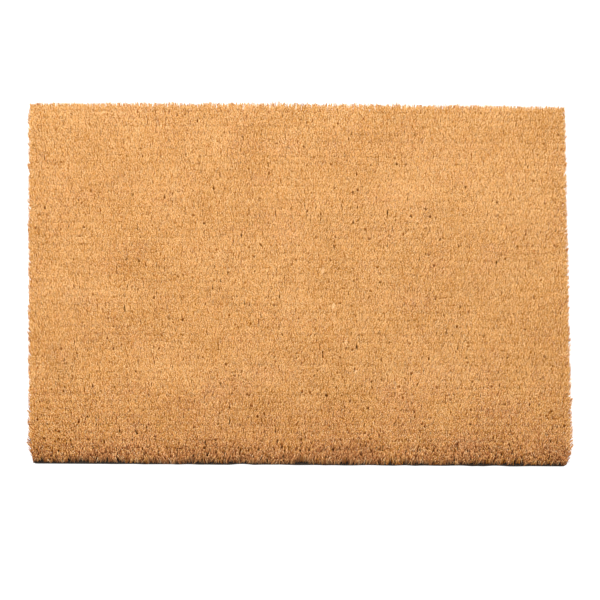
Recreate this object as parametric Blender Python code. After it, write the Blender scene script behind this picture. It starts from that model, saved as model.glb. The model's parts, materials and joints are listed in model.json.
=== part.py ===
"""Coir door mat: one pressed backing sheet with rows of cut coir tufts standing in it.

Metres, +Z up. X runs along the tuft rows, +Y is the side that the tufts lean towards. The origin is on the
floor, under the middle of the box that holds the whole mat. Every tuft row stands in its own channel,
pressed into the top of the sheet.
"""
import math

import bmesh
import bpy

# Driving dimensions.
BACKING_WIDTH = 0.590  # cut size of the sheet along X
BACKING_DEPTH = 0.405  # cut size of the sheet along Y
BACKING_THICKNESS = 0.003
BACKING_CORNER_RADIUS = 0.004
PILE_HEIGHT = 0.017  # from the top of the sheet to the cut ends of the fibres
SIDE_SPLAY = 0.005  # how far the cut ends stand out past the sheet's two side edges
NAP_ANGLE = math.radians(15.0)  # how far the tufts lean from upright, towards +Y
ROW_PITCH = 0.0085  # smallest distance from one tuft row to the next
ROOT_WIDTH = 0.0055  # a row's width where it stands in the sheet
ROOT_DEPTH = 0.0016  # how deep the channels go into the sheet
FLARE_HEIGHT = 0.003  # height over which a row opens from its root to its full width
EDGE_MARGIN = 0.002  # bare sheet between the outermost channels and the sheet's edge
FIT_GAP = 0.0003  # gap between faces that touch on the real mat

CORNER_STEPS = 8  # straight steps in each rounded corner of the sheet
CUTTER_HEADROOM = 0.002  # how far the channel cutters stand out of the sheet's top

COIR_COLOUR = (0.70, 0.37, 0.14, 1.0)
BACKING_COLOUR = (0.012, 0.011, 0.011, 1.0)

# Sizes that follow from the driving dimensions.
MAT_HEIGHT = BACKING_THICKNESS + PILE_HEIGHT
NAP_SHIFT = PILE_HEIGHT * math.tan(NAP_ANGLE)
FIELD_DEPTH = BACKING_DEPTH - 2 * EDGE_MARGIN
ROW_COUNT = int(FIELD_DEPTH // ROW_PITCH)
ROW_STEP = FIELD_DEPTH / ROW_COUNT
BACK_OVERHANG = max(0.0, NAP_SHIFT - EDGE_MARGIN - FIT_GAP / 2)
SHEET_MIDDLE_Y = -BACK_OVERHANG / 2
CHANNEL_FLOOR = BACKING_THICKNESS - ROOT_DEPTH
CHANNEL_HALF_LENGTH = BACKING_WIDTH / 2 - EDGE_MARGIN


def clear_scene():
    """Remove whatever the file already holds."""
    for old in list(bpy.data.objects):
        bpy.data.objects.remove(old, do_unlink=True)


def make_material(name, colour, roughness):
    """A plain Principled material in one colour."""
    material = bpy.data.materials.new(name)
    material.use_nodes = True
    shader = material.node_tree.nodes["Principled BSDF"]
    shader.inputs["Base Color"].default_value = colour
    shader.inputs["Roughness"].default_value = roughness
    shader.inputs["Metallic"].default_value = 0.0
    return material


def link_object(name, shape, material):
    """Turn a bmesh into a named object in the scene."""
    bmesh.ops.recalc_face_normals(shape, faces=shape.faces)
    mesh = bpy.data.meshes.new(name)
    shape.to_mesh(mesh)
    shape.free()
    mesh.materials.append(material)
    piece = bpy.data.objects.new(name, mesh)
    bpy.context.scene.collection.objects.link(piece)
    return piece


def loft_rings(shape, rings):
    """Join rings of equal length with side faces and close both ends."""
    rows = [[shape.verts.new(point) for point in ring] for ring in rings]
    for lower, upper in zip(rows, rows[1:]):
        for index, corner in enumerate(lower):
            following = (index + 1) % len(lower)
            shape.faces.new((corner, lower[following], upper[following], upper[index]))
    shape.faces.new(list(reversed(rows[0])))
    shape.faces.new(rows[-1])


def rounded_outline(width, depth, radius, middle_y, height):
    """Points around a rectangle with round corners, anticlockwise from above."""
    points = []
    for quarter, (side_x, side_y) in enumerate(((1, 1), (-1, 1), (-1, -1), (1, -1))):
        centre_x = side_x * (width / 2 - radius)
        centre_y = middle_y + side_y * (depth / 2 - radius)
        for step in range(CORNER_STEPS + 1):
            angle = math.radians(90) * (quarter + step / CORNER_STEPS)
            points.append((centre_x + radius * math.cos(angle), centre_y + radius * math.sin(angle), height))
    return points


def row_middle_y(row):
    """Y of the middle of a row's root, counted from the side at -Y."""
    return SHEET_MIDDLE_Y - FIELD_DEPTH / 2 + (row + 0.5) * ROW_STEP


def rectangle(half_length, middle_y, half_width, height):
    """One level of a bar that runs along X."""
    return [
        (-half_length, middle_y - half_width, height),
        (half_length, middle_y - half_width, height),
        (half_length, middle_y + half_width, height),
        (-half_length, middle_y + half_width, height),
    ]


def make_channel_cutter():
    """All the root channels as one hidden cutter, so that the sheet is cut once."""
    shape = bmesh.new()
    for row in range(ROW_COUNT):
        middle_y = row_middle_y(row)
        half_width = ROOT_WIDTH / 2 + FIT_GAP
        floor = rectangle(CHANNEL_HALF_LENGTH, middle_y, half_width, CHANNEL_FLOOR)
        top = rectangle(CHANNEL_HALF_LENGTH, middle_y, half_width, BACKING_THICKNESS + CUTTER_HEADROOM)
        loft_rings(shape, (floor, top))
    cutter = link_object("channel_cutter", shape, make_material("cutter", BACKING_COLOUR, 1.0))
    cutter.hide_render = True
    cutter.display_type = "WIRE"
    return cutter


def make_backing_sheet(material):
    """The pressed sheet: a thin slab with round corners and a channel under every tuft row."""
    shape = bmesh.new()
    outline = (BACKING_WIDTH, BACKING_DEPTH, BACKING_CORNER_RADIUS, SHEET_MIDDLE_Y)
    loft_rings(shape, (rounded_outline(*outline, 0.0), rounded_outline(*outline, BACKING_THICKNESS)))
    sheet = link_object("backing_sheet", shape, material)
    cut = sheet.modifiers.new("root_channels", "BOOLEAN")
    cut.operation = "DIFFERENCE"
    cut.solver = "EXACT"
    cut.object = make_channel_cutter()
    return sheet


def make_tuft_row(row, material):
    """One row of tufts as a single leaning bar: a root in its channel, a flare, then the full pile."""
    middle_y = row_middle_y(row)
    root_half_length = CHANNEL_HALF_LENGTH - FIT_GAP
    tip_half_length = BACKING_WIDTH / 2 + SIDE_SPLAY
    full_half_width = (ROW_STEP - FIT_GAP) / 2
    flare_share = FLARE_HEIGHT / PILE_HEIGHT
    flare_half_length = root_half_length + (tip_half_length - root_half_length) * flare_share
    flare_middle_y = middle_y + NAP_SHIFT * flare_share
    shape = bmesh.new()
    loft_rings(shape, (
        rectangle(root_half_length, middle_y, ROOT_WIDTH / 2, CHANNEL_FLOOR + FIT_GAP),
        rectangle(root_half_length, middle_y, ROOT_WIDTH / 2, BACKING_THICKNESS),
        rectangle(flare_half_length, flare_middle_y, full_half_width, BACKING_THICKNESS + FLARE_HEIGHT),
        rectangle(tip_half_length, middle_y + NAP_SHIFT, full_half_width, MAT_HEIGHT),
    ))
    return link_object(f"tuft_row_{row + 1:02d}", shape, material)


def main():
    clear_scene()
    make_backing_sheet(make_material("pvc_backing", BACKING_COLOUR, 0.55))
    coir = make_material("coir_pile", COIR_COLOUR, 0.9)
    for row in range(ROW_COUNT):
        make_tuft_row(row, coir)


main()
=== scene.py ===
"""Looks of a coir door mat: leaning cut-fibre tufts in rows, standing on a thin black PVC sheet.

Every length is in metres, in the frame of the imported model: X along the rows, Y from the front
edge to the back edge, Z up from the ground.
"""

import json
import math

import bpy
import numpy as np
from mathutils import Matrix, Vector

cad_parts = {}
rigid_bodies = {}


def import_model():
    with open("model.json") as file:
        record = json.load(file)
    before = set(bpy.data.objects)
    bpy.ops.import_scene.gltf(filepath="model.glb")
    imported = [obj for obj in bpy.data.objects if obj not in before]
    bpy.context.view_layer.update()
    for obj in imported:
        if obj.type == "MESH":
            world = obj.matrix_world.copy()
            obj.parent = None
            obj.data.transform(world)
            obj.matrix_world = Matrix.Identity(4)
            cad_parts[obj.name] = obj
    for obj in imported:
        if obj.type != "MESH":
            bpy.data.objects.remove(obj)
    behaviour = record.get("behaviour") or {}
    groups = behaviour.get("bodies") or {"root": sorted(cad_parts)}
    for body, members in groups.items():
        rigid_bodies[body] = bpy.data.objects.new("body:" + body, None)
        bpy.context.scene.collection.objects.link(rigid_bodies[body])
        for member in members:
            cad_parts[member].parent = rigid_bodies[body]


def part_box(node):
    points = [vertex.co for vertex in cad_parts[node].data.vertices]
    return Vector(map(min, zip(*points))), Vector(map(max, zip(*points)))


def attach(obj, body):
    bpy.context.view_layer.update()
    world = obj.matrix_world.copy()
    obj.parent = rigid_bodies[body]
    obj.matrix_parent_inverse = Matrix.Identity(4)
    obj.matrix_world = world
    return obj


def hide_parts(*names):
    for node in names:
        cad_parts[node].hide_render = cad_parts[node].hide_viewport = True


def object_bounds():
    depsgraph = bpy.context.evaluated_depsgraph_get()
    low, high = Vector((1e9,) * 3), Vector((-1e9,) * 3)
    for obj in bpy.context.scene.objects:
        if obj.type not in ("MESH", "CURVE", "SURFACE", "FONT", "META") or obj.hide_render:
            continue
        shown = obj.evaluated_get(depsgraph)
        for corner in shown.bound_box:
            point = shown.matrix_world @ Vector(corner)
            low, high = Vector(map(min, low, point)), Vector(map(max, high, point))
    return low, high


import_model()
CAD_LOW, CAD_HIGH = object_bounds()

SEED = 41
ROW_NODES = sorted(o.name for o in bpy.data.objects if o.name.startswith("tuft_row_"))
SHEET_NODE = "backing_sheet"
SHEET_LOW, SHEET_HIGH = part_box(SHEET_NODE)
HALF_LENGTH = CAD_HIGH.x  # of the pile, out to the tips at either side
PILE_TOP = CAD_HIGH.z
SHEET_TOP = SHEET_HIGH.z
BANDS = 17  # pieces that the rows are shown as
ROW_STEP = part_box(ROW_NODES[1])[0].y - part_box(ROW_NODES[0])[0].y

# The pile: a grid of tips on the cut surface, and roots gathered into tufts
FIBRE_SPACING = (0.00082, 0.00078)  # between tips, along X and Y
TIP_JITTER = 0.95  # of that spacing
FIBRE_RADIUS, RADIUS_SPREAD = 0.00035, 0.2
TUFT_PITCH = 0.0059
STAGGER = 0.25  # of that pitch, by which the tufts of odd and even rows stand aside, opposite ways
ROOT_HEIGHT = 0.0021
ROOT_GATHER, FRONT_GATHER = 0.5, 0.62  # width of a tuft at its roots, of its width at its tips
ROOT_SPREAD = 0.0014
ROOT_WAVE = 0.0003  # how far the lines of roots wander along Y
ROOT_INSET = 0.0006  # from the cut edge of the sheet to the outermost roots
FRONT_SETBACK = 0.0021  # from the front edge of the sheet back to the first tips
SHEET_SHOWS, SHEET_SHOWS_MORE = 0.05, 0.11  # of the first row: the bare strip in front, and how it varies
RISE = PILE_TOP - SHEET_TOP
NAP = math.radians(15)
LEAN_MIDDLE, LEAN_CHANGE, LEAN_SPREAD = math.radians(-1.5), math.radians(2.5), math.radians(1.0)
LEAN_TURNS_AT, LEAN_TURNS_OVER = -0.05, 0.1
TIP_SPREAD = 0.0002
PARTING, TUFT_SHIFT = 0.00024, 0.00018  # how far clumps of tips part, and tufts stand off their places
WORN_LOOSENESS, FRONT_LOOSENESS = 0.4, 1.7  # how much further tips move where worn and at the front
STEADIED = 0.4  # of their movement that the outermost roots and the last row's clumps keep
LYING_SHARE = 0.00006  # of the fibres, loose on the pile
LYING_REACH = (0.0025, 0.004, 0.0001)
PINHOLES, PINHOLE_REACH, PINHOLE_PUSH = 780, 0.0026, 0.0013
PINHOLE_SIZES = (0.2, 1.4)  # smallest and largest, of that push
PINHOLES_TO_FRONT = 1.8  # above 1 there are more of them near the front
BEND, KINK, TIP_TILT, ROOT_TAPER = 1.5, 0.0003, 0.15, 0.8  # the shape of one fibre

# The cut surface
CUT_DEPTH, CUT_WAVE = 0.0001, 0.00012  # under the top of the pile, and how the cut wanders up and down
SHORTER, TUFT_SHORTER = 0.0003, 0.00015  # how much shorter than level fibres and tufts are cut
FRONT_SHORTER = 0.0026
SHORT_SHARE, SHORTEST = 0.04, 0.003

# The outline of the pile
OVERHANG = 0.0009  # of the loosest tips past the level tips
STRAY, MOST_STRAY = 0.0006, 0.0018  # how far single tips stand out
SIDE_STRAY, BACK_STRAY = 0.8, 1.3  # how much of that shows at the sides and at the back
SIDE_RAG, BACK_RAG = (0.85, 0.25), (0.3, 0.5)  # of the overhang: the even part and the ragged part
SIDE_WAIST, BACK_BOW = 0.0007, 0.0013  # how far the cut edges stray from straight
CORNER_ZONE, CORNER_INSET = 0.020, 0.0050
BACK_CORNER_ZONE, BACK_CORNER_INSET, BACK_CORNER_ROUNDING = 0.010, 0.0017, 0.0014
ROUNDER_LEFT = 0.6  # how much more the left back corner is rounded than the middle between the two
OUTER_ZONE = 0.020  # tips this near a side follow its outline
FRONT_SHIFT, FRONT_SKEW, SKEW_ZONE = -0.0007, -0.0008, 0.05  # the front edge is cut out of square
RIM_ZONE, RIM_THINNING = 0.0035, 0.42  # where the cut edge grows thin
EDGE_ZONE = 0.006  # fibres this near an edge of the pile are bent

# The tones, in spreads of the tone from fibre to fibre, and what turns fibres browner or paler: painted
# shade towards the front and at the rim, painted light towards the back
TONE_SPREAD, PATCH_TONE, TUFT_TONE = 1.65, 0.13, 0.15
# The second is painted light: fibres paler towards the back, where the light from behind falls
MEAN_TONE, BACK_PAINTED_LIGHT = 0.04, 0.20
FRONT_ZONE, FRONT_PAINTED_SHADE, FRONT_THINNING = 0.030, -0.65, 0.30  # where the pile is looser; the darker tone there is painted shade, darkest at the front edge
WORN_AND_SHADED_ZONE, WIDE_FRONT_PAINTED_SHADE, WORN_THINNING = 0.115, -0.55, 0.05  # where it looks worn and thins a little; the darker tone there is painted shade, growing towards the front
SIDE_ZONE, SIDE_TONE = 0.050, -0.22
# Painted shade: fibres at the cut edge of the pile darker
RIM_PAINTED_SHADE = -0.8
DUSTY_SHARE, DUSTY_PATCHES, DUSTY_AND_SHADE_NEAR_FRONT, DUSTY_RIM = 0.04, 0.12, 0.45, 0.5
FLECKS = 4  # pale bits, in a loose line right of the middle
FLECK_FROM, FLECK_TO = (0.027, 0.010), (0.064, -0.103)
FLECK_HALF_WIDTH, FLECK_HALF_DEPTH, FLECK_SHARE = 0.0021, 0.0052, 0.8
FLECK_WANDER = 0.004

# The map of a fibre
MAP_NAME = "OFBake"
STRIP_WIDTH = 0.006  # of a fibre on the map
FRESH, DUSTY = 0.01, 0.51  # where the strips of fresh and of dusty fibres start on the map
STRIP_RANGE = 0.474
SHAFT_FROM, SHAFT_TO = 0.03, 0.95  # how far up the map a shaft is; below and above it are its two ends


def smoothstep(x):
    x = np.clip(x, 0, 1)
    return x * x * (3 - 2 * x)


def nearness(distance, zone):
    """1 at no distance, falling smoothly to 0 at the far side of the zone."""
    return smoothstep(1 - distance / zone)


def smooth_field(rng, cell_x, cell_y):
    """A random surface over the mat, with about unit spread and bumps of the given size."""
    margin = 0.02
    spread_lost_by_blending = 1.35
    low_x, low_y = CAD_LOW.x - margin, CAD_LOW.y - margin
    columns = int((CAD_HIGH.x + margin - low_x) / cell_x) + 3
    rows = int((CAD_HIGH.y + margin - low_y) / cell_y) + 3
    knots = rng.standard_normal((columns, rows))

    def field(x, y):
        across, along = (x - low_x) / cell_x, (y - low_y) / cell_y
        i = np.clip(across.astype(int), 0, columns - 2)
        j = np.clip(along.astype(int), 0, rows - 2)
        s, t = smoothstep(across - i), smoothstep(along - j)
        lower = knots[i, j] * (1 - s) + knots[i + 1, j] * s
        upper = knots[i, j + 1] * (1 - s) + knots[i + 1, j + 1] * s
        return (lower * (1 - t) + upper * t) * spread_lost_by_blending

    return field


fields = np.random.default_rng(SEED)
BANDING = smooth_field(fields, 0.16, 0.022)
PATCHES = smooth_field(fields, 0.045, 0.03)
LEAN_X = smooth_field(fields, 0.03, 0.022)
LEAN_Y = smooth_field(fields, 0.03, 0.022)
PARTING_X = smooth_field(fields, 0.0036, 0.0036)
PARTING_Y = smooth_field(fields, 0.0036, 0.0036)
RAG = smooth_field(fields, 0.0035, 0.0035)
GAPS = smooth_field(fields, 0.006, 0.03)
RUDDY = smooth_field(fields, 0.028, 0.020)
holes_x = fields.uniform(CAD_LOW.x, CAD_HIGH.x, PINHOLES)
holes_y = CAD_LOW.y + (CAD_HIGH.y - CAD_LOW.y) * fields.uniform(0, 1, PINHOLES) ** PINHOLES_TO_FRONT
hole_push = PINHOLE_PUSH * fields.uniform(*PINHOLE_SIZES, PINHOLES)
fleck_places = np.linspace(FLECK_FROM, FLECK_TO, FLECKS)
fleck_places += fields.uniform(-FLECK_WANDER, FLECK_WANDER, (FLECKS, 2))


def front_edge(x, y):
    """How far the pile and the sheet are shifted along Y near the front edge, the more to the right."""
    shift = FRONT_SHIFT + FRONT_SKEW * x / HALF_LENGTH
    return shift * (1 - smoothstep((y - SHEET_LOW.y) / SKEW_ZONE))


def side_lean(x):
    """How far the nap leans along X: to the left at -X, and slightly to the right at +X."""
    return LEAN_MIDDLE + LEAN_CHANGE * np.tanh((x - LEAN_TURNS_AT) / LEAN_TURNS_OVER)


def row_middle(node):
    """Y of the middle of a row's roots, from the box of its CAD node."""
    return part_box(node)[1].y - ROW_STEP / 2 - RISE * math.tan(NAP)


def push_from_pinholes(x, y):
    """Tips part round each pinhole."""
    near = np.nonzero((holes_y > y.min() - PINHOLE_REACH) & (holes_y < y.max() + PINHOLE_REACH))[0]
    for hole in near:
        away_x, away_y = x - holes_x[hole], y - holes_y[hole]
        distance = np.hypot(away_x, away_y)
        push = hole_push[hole] * nearness(distance, PINHOLE_REACH) / np.maximum(distance, 1e-6)
        x, y = x + away_x * push, y + away_y * push
    return x, y


def bleached_share(x, y):
    """Share of pale fibres: short strokes along the nap, where a bundle of bleached fibres is mixed in."""
    strokes = [
        np.hypot((x - middle_x) / FLECK_HALF_WIDTH, (y - middle_y) / FLECK_HALF_DEPTH)
        for middle_x, middle_y in fleck_places
    ]
    return FLECK_SHARE * smoothstep(2 * (1 - np.minimum.reduce(strokes)))


def mixed_tones(rng, columns, lines):
    """Tones of about unit spread, mixed so evenly that no small patch is all dark or all pale."""
    patch_evened, line_evened, regained = 0.6, 0.5, 1.17
    tones = rng.standard_normal((columns, lines))
    patch = sum(np.roll(tones, (i, j), (0, 1)) for i in range(-2, 3) for j in range(-1, 2)) / 15
    line = sum(np.roll(tones, j, 1) for j in range(-1, 2)) / 3
    return (regained * (tones - patch_evened * patch - line_evened * line)).ravel()


def share_below(tone):
    """About the share of a normal spread that is below each tone, so that tones fill the map evenly."""
    return 0.5 * (1 + np.tanh(0.8 * tone * (1 + 0.04 * tone**2)))


def row_span(row):
    """Y of the first and last tips, and of the first and last roots, of a row."""
    middle = row_middle(ROW_NODES[row])
    tip_middle = middle + RISE * math.tan(NAP)
    tips = [tip_middle - ROW_STEP / 2, tip_middle + ROW_STEP / 2]
    roots = [middle - ROW_STEP * ROOT_GATHER / 2, middle + ROW_STEP * ROOT_GATHER / 2]
    if row == 0:
        tips[0], roots[0] = SHEET_LOW.y + FRONT_SETBACK, SHEET_LOW.y + ROOT_INSET
    if row == len(ROW_NODES) - 1:
        tips[1] = CAD_HIGH.y
    return tips, roots


def gathered_roots(rng, row, tip_x, tip_y, share, root_span):
    """X and Y of the roots, and four random numbers for the tuft that each fibre belongs to."""
    count = len(tip_x)
    root_half = SHEET_HIGH.x - ROOT_INSET
    lean = side_lean(tip_x) + LEAN_SPREAD * LEAN_X(tip_x, tip_y)
    root_x = np.clip(tip_x - RISE * np.tan(lean), -root_half, root_half)
    tufts = round(2 * root_half / TUFT_PITCH)
    pitch = 2 * root_half / tufts
    stagger = STAGGER * pitch * (1 if row % 2 else -1)
    tuft = np.clip(np.floor((root_x + root_half - stagger) / pitch).astype(int), 0, tufts - 1)
    tuft_x = (tuft + 0.5) * pitch - root_half + stagger
    gather = FRONT_GATHER if row == 0 else ROOT_GATHER
    root_x = np.clip(tuft_x + (root_x - tuft_x) * gather, -root_half, root_half)
    root_y = root_span[0] + share * (root_span[1] - root_span[0])
    root_y -= ROOT_WAVE * LEAN_Y(tip_x, tip_y)
    root_x += rng.normal(0, ROOT_SPREAD, count)
    root_y += rng.normal(0, ROOT_SPREAD, count) * (STEADIED if row == 0 else 1)
    root_x = np.clip(root_x, -root_half, root_half)
    root_y = np.maximum(root_y, SHEET_LOW.y + ROOT_INSET / 2)
    return root_x, root_y, rng.normal(0, 1, (tufts, 4))[tuft]


def loosened_tips(rng, tip_x, tip_y, of_tuft, loose, parted):
    """The tips after clumps, tufts and single fibres have moved, and parted round the pinholes."""
    count = len(tip_x)
    tip_x = tip_x + (PARTING * PARTING_X(tip_x, tip_y) + TUFT_SHIFT * of_tuft[:, 0]) * parted
    tip_y = tip_y + (PARTING * PARTING_Y(tip_x, tip_y) + TUFT_SHIFT * of_tuft[:, 1]) * parted
    tip_x = tip_x + rng.normal(0, TIP_SPREAD, count) * loose
    tip_y = tip_y + rng.normal(0, TIP_SPREAD, count) * loose
    return push_from_pinholes(tip_x, tip_y)


def outlined_tips(tip_x, tip_y, share, stray, corner, last):
    """The tips fitted into the pile's outline, and how far out along X the outline is at each."""
    waist = SIDE_WAIST * np.cos(math.pi * tip_y / (CAD_HIGH.y - CAD_LOW.y))
    rag = OVERHANG * (SIDE_RAG[0] + SIDE_RAG[1] * RAG(tip_x, tip_y))
    limit = HALF_LENGTH + rag + SIDE_STRAY * stray - waist - CORNER_INSET * corner
    rounded = 1 - ROUNDER_LEFT * tip_x / HALF_LENGTH
    limit -= BACK_CORNER_INSET * rounded * nearness(CAD_HIGH.y - tip_y, BACK_CORNER_ZONE)
    outer = smoothstep((np.abs(tip_x) - (HALF_LENGTH - OUTER_ZONE)) / OUTER_ZONE)
    tip_x = np.clip(tip_x * (1 + (limit / HALF_LENGTH - 1) * outer), -limit, limit)
    if last:
        bow = BACK_BOW * np.cos(math.pi * tip_x / (2 * HALF_LENGTH))
        near_side = nearness(limit - np.abs(tip_x), BACK_CORNER_ZONE)
        rounding = BACK_CORNER_ROUNDING * rounded * near_side**2
        rag = OVERHANG * (BACK_RAG[0] + BACK_RAG[1] * RAG(tip_y, tip_x))
        tip_y = tip_y + (rag + bow + BACK_STRAY * stray - rounding) * share
    return tip_x, tip_y + front_edge(tip_x, tip_y), limit


def tip_heights(rng, tip_x, tip_y, of_tuft, front):
    """Z of the tips: cut level, but for a slow wave, short tufts and a few short fibres."""
    count = len(tip_x)
    tip_z = PILE_TOP - CUT_DEPTH + CUT_WAVE * BANDING(tip_x, tip_y) - rng.exponential(SHORTER, count)
    tip_z -= TUFT_SHORTER * np.abs(of_tuft[:, 2]) + FRONT_SHORTER * front**2
    return tip_z - (rng.random(count) < SHORT_SHARE) * rng.uniform(0, SHORTEST, count)


def places_on_map(rng, tones, lying, tip_x, tip_y, of_tuft, front, worn_and_shaded, rim):
    """Where across the map each fibre has its strip, which gives it its tone and kind."""
    count = len(tones)
    back = smoothstep((tip_y - CAD_LOW.y) / (CAD_HIGH.y - CAD_LOW.y))
    side = nearness(HALF_LENGTH - np.abs(tip_x), SIDE_ZONE)
    tone = TONE_SPREAD * tones + PATCH_TONE * PATCHES(tip_x, tip_y) + TUFT_TONE * of_tuft[:, 3]
    # Painted light and shade: paler towards the back, darker towards the front and at the rim
    tone += MEAN_TONE + BACK_PAINTED_LIGHT * back + WIDE_FRONT_PAINTED_SHADE * worn_and_shaded
    tone += FRONT_PAINTED_SHADE * front + RIM_PAINTED_SHADE * rim + SIDE_TONE * side
    tone = share_below(tone)
    # More of the darker, redder dusty fibres towards the front: partly dust, partly painted shade
    dusty_share = DUSTY_SHARE + DUSTY_PATCHES * RUDDY(tip_x, tip_y) + DUSTY_AND_SHADE_NEAR_FRONT * (worn_and_shaded + front)
    dusty = rng.random(count) < dusty_share + DUSTY_RIM * rim
    tone[lying | (rng.random(count) < bleached_share(tip_x, tip_y))] = 1
    return np.where(dusty, DUSTY, FRESH) + tone * STRIP_RANGE


def row_of_fibres(rng, row):
    """Roots and tips (fibre, xyz), radii, places across the map and whether near an edge, for one row."""
    first, last = row == 0, row == len(ROW_NODES) - 1
    (tip_low, tip_high), root_span = row_span(row)
    columns = round(2 * HALF_LENGTH / FIBRE_SPACING[0])
    lines = round((tip_high - tip_low) / FIBRE_SPACING[1])
    column, line = (x.ravel() for x in np.indices((columns, lines)))
    count = len(column)
    jitter = rng.uniform(-0.5, 0.5, (2, count)) * TIP_JITTER
    tip_x = ((column + 0.5 + jitter[0]) / columns * 2 - 1) * HALF_LENGTH
    share = (line + 0.5 + jitter[1]) / lines
    tip_y = tip_low + share * (tip_high - tip_low)
    root_x, root_y, of_tuft = gathered_roots(rng, row, tip_x, tip_y, share, root_span)

    from_front = tip_y - SHEET_LOW.y
    front, worn_and_shaded = nearness(from_front, FRONT_ZONE), nearness(from_front, WORN_AND_SHADED_ZONE)
    corner = nearness(from_front, CORNER_ZONE)
    loose = 1 + WORN_LOOSENESS * worn_and_shaded + FRONT_LOOSENESS * front
    parted = loose * (STEADIED if last else 1)
    tip_x, tip_y = loosened_tips(rng, tip_x, tip_y, of_tuft, loose, parted)
    stray = np.minimum(rng.exponential(STRAY, count), MOST_STRAY)
    tip_x, tip_y, limit = outlined_tips(tip_x, tip_y, share, stray, corner, last)
    root_y += front_edge(root_x, root_y)
    tip_z = tip_heights(rng, tip_x, tip_y, of_tuft, front)

    root = np.stack([root_x, root_y, np.full(count, ROOT_HEIGHT)], 1)
    tip = np.stack([tip_x, tip_y, tip_z], 1)
    radius = FIBRE_RADIUS * np.exp(rng.normal(0, RADIUS_SPREAD, count))
    lying = rng.random(count) < LYING_SHARE
    tip[lying, 2] = PILE_TOP
    root[lying] = tip[lying] + rng.normal(0, 1, (lying.sum(), 3)) * LYING_REACH

    rim = nearness(limit - np.abs(tip_x), RIM_ZONE)
    if last:
        rim = np.maximum(rim, nearness((1 - share) * (tip_high - tip_low), RIM_ZONE))
    tones = mixed_tones(rng, columns, lines)
    place = places_on_map(rng, tones, lying, tip_x, tip_y, of_tuft, front, worn_and_shaded, rim)
    at_edge = (np.abs(tip_x) > HALF_LENGTH - EDGE_ZONE) | (tip_y > CAD_HIGH.y - EDGE_ZONE)
    at_edge |= tip_y < SHEET_LOW.y + FRONT_SETBACK + EDGE_ZONE
    kept = rng.random(count) > WORN_THINNING * worn_and_shaded + FRONT_THINNING * front + RIM_THINNING * rim
    if first:
        kept &= share > SHEET_SHOWS + SHEET_SHOWS_MORE * GAPS(tip_x, tip_y)
    return tuple(x[kept] for x in (root, tip, radius, place, at_edge))


def fibres(rng, rings, root, tip, radius, place):
    """Closed three-sided fibres as (points, quads, triangles, quad map, triangle map).

    Each wears a narrow strip of the map: its place is across, and from root to tip is up. A fibre of
    more than two rings is bent: it stands up from its root, then leans.
    """
    count = len(root)
    up = np.linspace(0, 1, rings)[None, :, None]
    bend = 1.0 if rings == 2 else BEND
    path = root[:, None] + (tip - root)[:, None] * np.concatenate([up**bend, up**bend, up], 2)
    path[:, 1:-1, :2] += rng.normal(0, KINK, (count, rings - 2, 2))
    tangent = np.gradient(path, axis=1)
    tangent /= np.linalg.norm(tangent, axis=2, keepdims=True)
    tangent[:, -1] = (0, 0, 1)  # the pile is cut level
    tangent[:, -1, :2] += rng.normal(0, TIP_TILT, (count, 2))
    tangent[:, -1] /= np.linalg.norm(tangent[:, -1], axis=1, keepdims=True)
    turn = rng.uniform(0, 2 * math.pi, count)
    aside = np.stack([np.cos(turn), np.sin(turn), np.zeros(count)], 1)[:, None, :]
    aside = aside - (aside * tangent).sum(2, keepdims=True) * tangent
    aside /= np.linalg.norm(aside, axis=2, keepdims=True)
    across = np.cross(tangent, aside)
    angle = np.arange(3)[:, None] * 2 * math.pi / 3
    taper = np.interp(up[0, :, 0], [0, 0.5, 1], [ROOT_TAPER, 1.0, 1.0])
    points = path[:, :, None] + (radius[:, None] * taper)[:, :, None, None] * (
        np.cos(angle) * aside[:, :, None] + np.sin(angle) * across[:, :, None]
    )

    ring, side = (x.ravel() for x in np.indices((rings - 1, 3)))
    following = (side + 1) % 3
    lower, upper = ring * 3, ring * 3 + 3
    quads = np.stack([lower + side, lower + following, upper + following, upper + side], 1)
    top = (rings - 1) * 3
    caps = np.array([[top, top + 1, top + 2], [2, 1, 0]])
    first = (np.arange(count) * rings * 3)[:, None, None]

    shaft = np.linspace(SHAFT_FROM, SHAFT_TO, rings)
    quad_u = np.tile([0, 1, 1, 0], len(quads))
    quad_v = np.stack([shaft[ring], shaft[ring], shaft[ring + 1], shaft[ring + 1]], 1).ravel()
    cap_u = np.array([0, 1, 0.5, 0, 1, 0.5])
    cap_v = np.array([0.965, 0.965, 0.995, 0.005, 0.005, 0.02])
    quad_uv, cap_uv = (
        np.stack(np.broadcast_arrays(place[:, None] + u * STRIP_WIDTH, v[None]), 2).reshape(-1, 2)
        for u, v in ((quad_u, quad_v), (cap_u, cap_v))
    )
    quads, caps = (first + quads).reshape(-1, 4), (first + caps).reshape(-1, 3)
    return points.reshape(-1, 3), quads, caps, quad_uv, cap_uv


def pile_mesh(name, groups):
    """One piece from groups of fibres."""
    starts = np.cumsum([0] + [len(group[0]) for group in groups])[:-1]
    points = np.concatenate([group[0] for group in groups])
    quads = np.concatenate([group[1] + start for group, start in zip(groups, starts)])
    caps = np.concatenate([group[2] + start for group, start in zip(groups, starts)])
    places = np.concatenate([group[3] for group in groups] + [group[4] for group in groups])
    sizes = np.repeat([4, 3], [len(quads), len(caps)])
    mesh = bpy.data.meshes.new(name)
    mesh.vertices.add(len(points))
    mesh.vertices.foreach_set("co", points.astype(np.float32).ravel())
    mesh.loops.add(int(sizes.sum()))
    mesh.loops.foreach_set("vertex_index", np.concatenate([quads.ravel(), caps.ravel()]).astype(np.int32))
    mesh.polygons.add(len(sizes))
    mesh.polygons.foreach_set("loop_start", (np.cumsum(sizes) - sizes).astype(np.int32))
    mesh.polygons.foreach_set("use_smooth", sizes == 4)
    mesh.update(calc_edges=True)
    mesh.uv_layers.new(name=MAP_NAME).uv.foreach_set("vector", places.astype(np.float32).ravel())
    piece = bpy.data.objects.new(name, mesh)
    bpy.context.scene.collection.objects.link(piece)
    return piece


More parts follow.
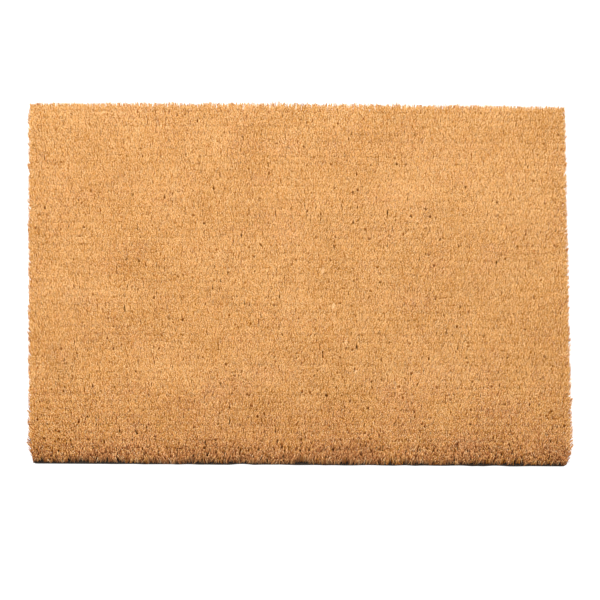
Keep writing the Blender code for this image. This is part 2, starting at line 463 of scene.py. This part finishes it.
class Nodes:
    """A material's node tree, built by short calls."""

    def __init__(self, name):
        self.material = bpy.data.materials.new(name)
        self.material.use_nodes = True
        self.tree = self.material.node_tree
        self.shader = self.tree.nodes["Principled BSDF"]

    def add(self, kind, inputs=(), **settings):
        node = self.tree.nodes.new(kind)
        for key, value in settings.items():
            setattr(node, key, value)
        for key, value in dict(inputs).items():
            if isinstance(value, bpy.types.NodeSocket):
                self.tree.links.new(value, node.inputs[key])
            else:
                node.inputs[key].default_value = value
        return node

    def ramp(self, value, stops):
        node = self.add("ShaderNodeValToRGB", {"Fac": value})
        points = node.color_ramp.elements
        while len(points) < len(stops):
            points.new(0.5)
        for point, (place, colour) in zip(points, stops):
            point.position = place
            point.color = (*colour, 1)
        return node.outputs["Color"]

    def noise(self, vector, scale, detail=2.0, roughness=0.5):
        node = self.add(
            "ShaderNodeTexNoise",
            {"Vector": vector, "Scale": scale, "Detail": detail, "Roughness": roughness},
        )
        return node.outputs["Fac"]

    def spread(self, value, low, high, from_low=0.3, from_high=0.7):
        node = self.add(
            "ShaderNodeMapRange",
            {"Value": value, "From Min": from_low, "From Max": from_high, "To Min": low, "To Max": high},
        )
        return node.outputs["Result"]

    def times(self, colour, factor):
        node = self.add("ShaderNodeVectorMath", {0: colour, "Scale": factor}, operation="SCALE")
        return node.outputs["Vector"]

    def multiply(self, one, other):
        node = self.add("ShaderNodeVectorMath", {0: one, 1: other}, operation="MULTIPLY")
        return node.outputs["Vector"]

    def mix(self, factor, one, other):
        """Blends two colours. Several sockets of the mix node share a name, so they go by place."""
        node = self.add("ShaderNodeMix", {0: factor, 6: one, 7: other}, data_type="RGBA")
        return node.outputs[2]

    def stretch(self, vector, scale):
        node = self.add("ShaderNodeMapping", {"Vector": vector, "Scale": scale})
        return node.outputs["Vector"]

    def bump(self, height, strength, distance):
        node = self.add("ShaderNodeBump", {"Height": height, "Strength": strength, "Distance": distance})
        return node.outputs["Normal"]

    def finish(self, **sockets):
        for key, value in sockets.items():
            socket = self.shader.inputs[key.replace("_", " ")]
            if isinstance(value, bpy.types.NodeSocket):
                self.tree.links.new(value, socket)
            else:
                socket.default_value = value
        return self.material


def coir_material():
    """Coconut fibre. Across the map is the tone of a fibre, first the fresh ones, then the redder dusty
    ones; up the map is from its root to its cut tip."""
    nodes = Nodes("coir_fibre")
    place = nodes.add("ShaderNodeUVMap", uv_map=MAP_NAME).outputs["UV"]
    parts = nodes.add("ShaderNodeSeparateXYZ", {"Vector": place})
    tone = nodes.ramp(parts.outputs["X"], [
        (0.00, (0.42, 0.170, 0.028)),
        (0.06, (0.58, 0.280, 0.067)),
        (0.17, (0.71, 0.392, 0.124)),
        (0.32, (0.81, 0.486, 0.191)),
        (0.45, (0.90, 0.590, 0.278)),
        (0.495, (0.95, 0.690, 0.390)),
        (0.505, (0.37, 0.145, 0.050)),
        (0.56, (0.54, 0.246, 0.095)),
        (0.67, (0.67, 0.340, 0.130)),
        (0.82, (0.79, 0.424, 0.165)),
        (0.95, (0.89, 0.545, 0.245)),
        (1.00, (0.94, 0.680, 0.410)),
    ])
    # Each fibre darker and redder towards its root: painted shade deep in the pile; the dusty ones also
    # greyer there, dust with painted shade
    fresh = nodes.ramp(parts.outputs["Y"], [
        (0.0, (0.56, 0.31, 0.12)),
        (0.35, (0.84, 0.60, 0.33)),
        (0.75, (1.0, 0.92, 0.78)),
        (1.0, (1.0, 1.0, 1.0)),
    ])
    dusty = nodes.ramp(parts.outputs["Y"], [
        (0.0, (0.52, 0.52, 0.60)),
        (0.30, (0.66, 0.64, 0.70)),
        (0.60, (0.83, 0.78, 0.76)),
        (0.85, (0.98, 0.94, 0.90)),
        (1.0, (1.0, 1.0, 1.0)),
    ])
    along = nodes.mix(nodes.spread(parts.outputs["X"], 0, 1, 0.499, 0.501), fresh, dusty)
    mottle = nodes.noise(nodes.stretch(place, (92, 5, 1)), 1.0, 3.0, 0.6)
    colour = nodes.times(nodes.multiply(tone, along), nodes.spread(mottle, 0.86, 1.10))
    strands = nodes.noise(nodes.stretch(place, (420, 9, 1)), 1.0, 2.0)
    return nodes.finish(
        Base_Color=colour,
        Roughness=nodes.spread(mottle, 0.90, 0.72),
        Specular_IOR_Level=0.0,
        Normal=nodes.bump(strands, 0.35, 0.0001),
    )


def sheet_material():
    nodes = Nodes("pvc_sheet")
    place = nodes.add("ShaderNodeTexCoord").outputs["Object"]
    cloud = nodes.noise(place, 38, 4.0, 0.6)
    dust = nodes.spread(nodes.noise(place, 900, 2.0, 0.7), 0.0, 0.55, 0.50, 0.68)
    black = nodes.ramp(cloud, [(0.3, (0.013, 0.009, 0.007)), (0.7, (0.030, 0.023, 0.018))])
    colour = nodes.mix(dust, black, (0.16, 0.10, 0.055, 1))
    pebbles = nodes.add("ShaderNodeTexVoronoi", {"Vector": place, "Scale": 420}).outputs["Distance"]
    return nodes.finish(
        Base_Color=colour,
        Roughness=nodes.spread(cloud, 0.62, 0.82),
        Specular_IOR_Level=0.25,
        Normal=nodes.bump(pebbles, 0.4, 0.0003),
    )


def make_sheet():
    """The backing: a thin slab on a fine grid, with round corners, a wavering cut and an uneven skin."""
    cell, corner_radius = 0.003, 0.004
    side_waver, end_waver = 0.0002, 0.0003
    under_ripple, over_ripple = 0.00012, 0.00015
    low, high = SHEET_LOW, SHEET_HIGH
    columns = round((high.x - low.x) / cell) + 1
    rows = round((high.y - low.y) / cell) + 1
    across, along = np.linspace(low.x, high.x, columns), np.linspace(low.y, high.y, rows)
    x, y = np.meshgrid(across, along, indexing="ij")
    inner_x = np.clip(x, low.x + corner_radius, high.x - corner_radius)
    inner_y = np.clip(y, low.y + corner_radius, high.y - corner_radius)
    reach = np.hypot(x - inner_x, y - inner_y)
    pull = np.where(reach > corner_radius, corner_radius / np.maximum(reach, 1e-9), 1)
    x, y = inner_x + (x - inner_x) * pull, inner_y + (y - inner_y) * pull
    rng = np.random.default_rng((SEED, 900))
    waver, ripple = smooth_field(rng, 0.02, 0.02), smooth_field(rng, 0.009, 0.009)
    edge = np.zeros_like(x, bool)
    edge[[0, -1], :] = edge[:, [0, -1]] = True
    x = x - np.where(edge, np.sign(x) * side_waver * np.abs(waver(x, y)), 0)
    y = y - np.where(edge, np.sign(y) * end_waver * np.abs(waver(y, x)), 0)
    y = y + front_edge(x, y)
    under = low.z + under_ripple * np.abs(ripple(x, y))
    over = high.z - over_ripple * np.abs(ripple(y, x))
    vertices = np.concatenate([np.stack([x, y, z], 2).reshape(-1, 3) for z in (over, under)])

    index = np.arange(columns * rows).reshape(columns, rows)
    upper = np.stack([index[:-1, :-1], index[1:, :-1], index[1:, 1:], index[:-1, 1:]], 2).reshape(-1, 4)
    lower = upper[:, ::-1] + columns * rows
    rim = np.concatenate([index[:-1, 0], index[-1, :-1], index[:0:-1, -1], index[0, :0:-1]])
    following = np.roll(rim, -1)
    wall = np.stack([rim, rim + columns * rows, following + columns * rows, following], 1)
    faces = np.concatenate([upper, lower, wall])
    mesh = bpy.data.meshes.new("backing")
    mesh.from_pydata(vertices.tolist(), [], faces.tolist())
    mesh.polygons.foreach_set("use_smooth", np.arange(len(faces)) < len(upper) + len(lower))
    mesh.update()
    piece = bpy.data.objects.new("pvc_backing", mesh)
    bpy.context.scene.collection.objects.link(piece)
    return piece


COIR = coir_material()
row_numbers = np.arange(len(ROW_NODES))
bands = [row_numbers[:2], *np.array_split(row_numbers[2:-2], BANDS - 2), row_numbers[-2:]]
for band, rows in enumerate(bands):
    rng = np.random.default_rng((SEED, band))
    root, tip, radius, place, at_edge = (
        np.concatenate(x) for x in zip(*(row_of_fibres(rng, row) for row in rows))
    )
    groups = [
        fibres(rng, rings, root[chosen], tip[chosen], radius[chosen], place[chosen])
        for rings, chosen in ((2, ~at_edge), (3, at_edge))
    ]
    pile = pile_mesh(f"coir_pile_{rows[0] + 1:02d}_{rows[-1] + 1:02d}", groups)
    pile.data.materials.append(COIR)
    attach(pile, "root")
    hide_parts(*(ROW_NODES[row] for row in rows))

backing = make_sheet()
backing.data.materials.append(sheet_material())
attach(backing, "root")
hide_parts(SHEET_NODE)

# The room: a white floor, an even white sky and one soft light from behind and above
FLOOR_SIZE = 30.0
FLOOR_GAP = 0.0001  # under the mat, so that no two faces lie in one plane
SKY_STRENGTH = 0.90
LIGHT_PLACE = Vector((-0.6, 1.6, 3.2))
LIGHT_SIZE = 2.0
LIGHT_POWER = 122.0

floor_mesh = bpy.data.meshes.new("floor")
half = FLOOR_SIZE / 2
floor_corners = [(-half, -half, 0), (half, -half, 0), (half, half, 0), (-half, half, 0)]
floor_mesh.from_pydata(floor_corners, [], [(0, 1, 2, 3)])
floor = bpy.data.objects.new("floor", floor_mesh)
floor.location.z = CAD_LOW.z - FLOOR_GAP
bpy.context.scene.collection.objects.link(floor)
floor_nodes = Nodes("floor_white")
floor_mesh.materials.append(floor_nodes.finish(
    Base_Color=(0.3, 0.3, 0.3, 1), Roughness=0.95, Specular_IOR_Level=0.0,
    Emission_Color=(1, 1, 1, 1), Emission_Strength=0.95,
))

world = bpy.data.worlds.new("sky")
world.use_nodes = True
world.node_tree.nodes["Background"].inputs["Color"].default_value = (1, 1, 1, 1)
world.node_tree.nodes["Background"].inputs["Strength"].default_value = SKY_STRENGTH
bpy.context.scene.world = world

light_data = bpy.data.lights.new("softbox", "AREA")
light_data.shape = "SQUARE"
light_data.size = LIGHT_SIZE
light_data.energy = LIGHT_POWER
light = bpy.data.objects.new("softbox", light_data)
light.location = LIGHT_PLACE
light.rotation_euler = (-LIGHT_PLACE).to_track_quat("-Z", "Y").to_euler()
bpy.context.scene.collection.objects.link(light)

# The camera: a long lens, a little in front of the mat and to its left
CAMERA_AZIMUTH = math.radians(-14.70)
CAMERA_TILT = math.radians(14.61)  # from straight down
CAMERA_ROLL = math.radians(14.52)
CAMERA_DISTANCE = 6.654
CAMERA_TARGET = Vector((0.0011, -0.0188, 0.010))
camera_data = bpy.data.cameras.new("camera")
camera_data.sensor_width = 36.0
camera_data.lens = 360.0
camera_data.clip_end = 100.0
camera = bpy.data.objects.new("camera", camera_data)
bpy.context.scene.collection.objects.link(camera)
bpy.context.scene.camera = camera
turn = (
    Matrix.Rotation(CAMERA_AZIMUTH, 3, "Z")
    @ Matrix.Rotation(CAMERA_TILT, 3, "X")
    @ Matrix.Rotation(CAMERA_ROLL, 3, "Z")
)
camera.rotation_euler = turn.to_euler()
camera.location = CAMERA_TARGET + turn @ Vector((0, 0, CAMERA_DISTANCE))

bpy.context.scene.view_settings.view_transform = "Standard"
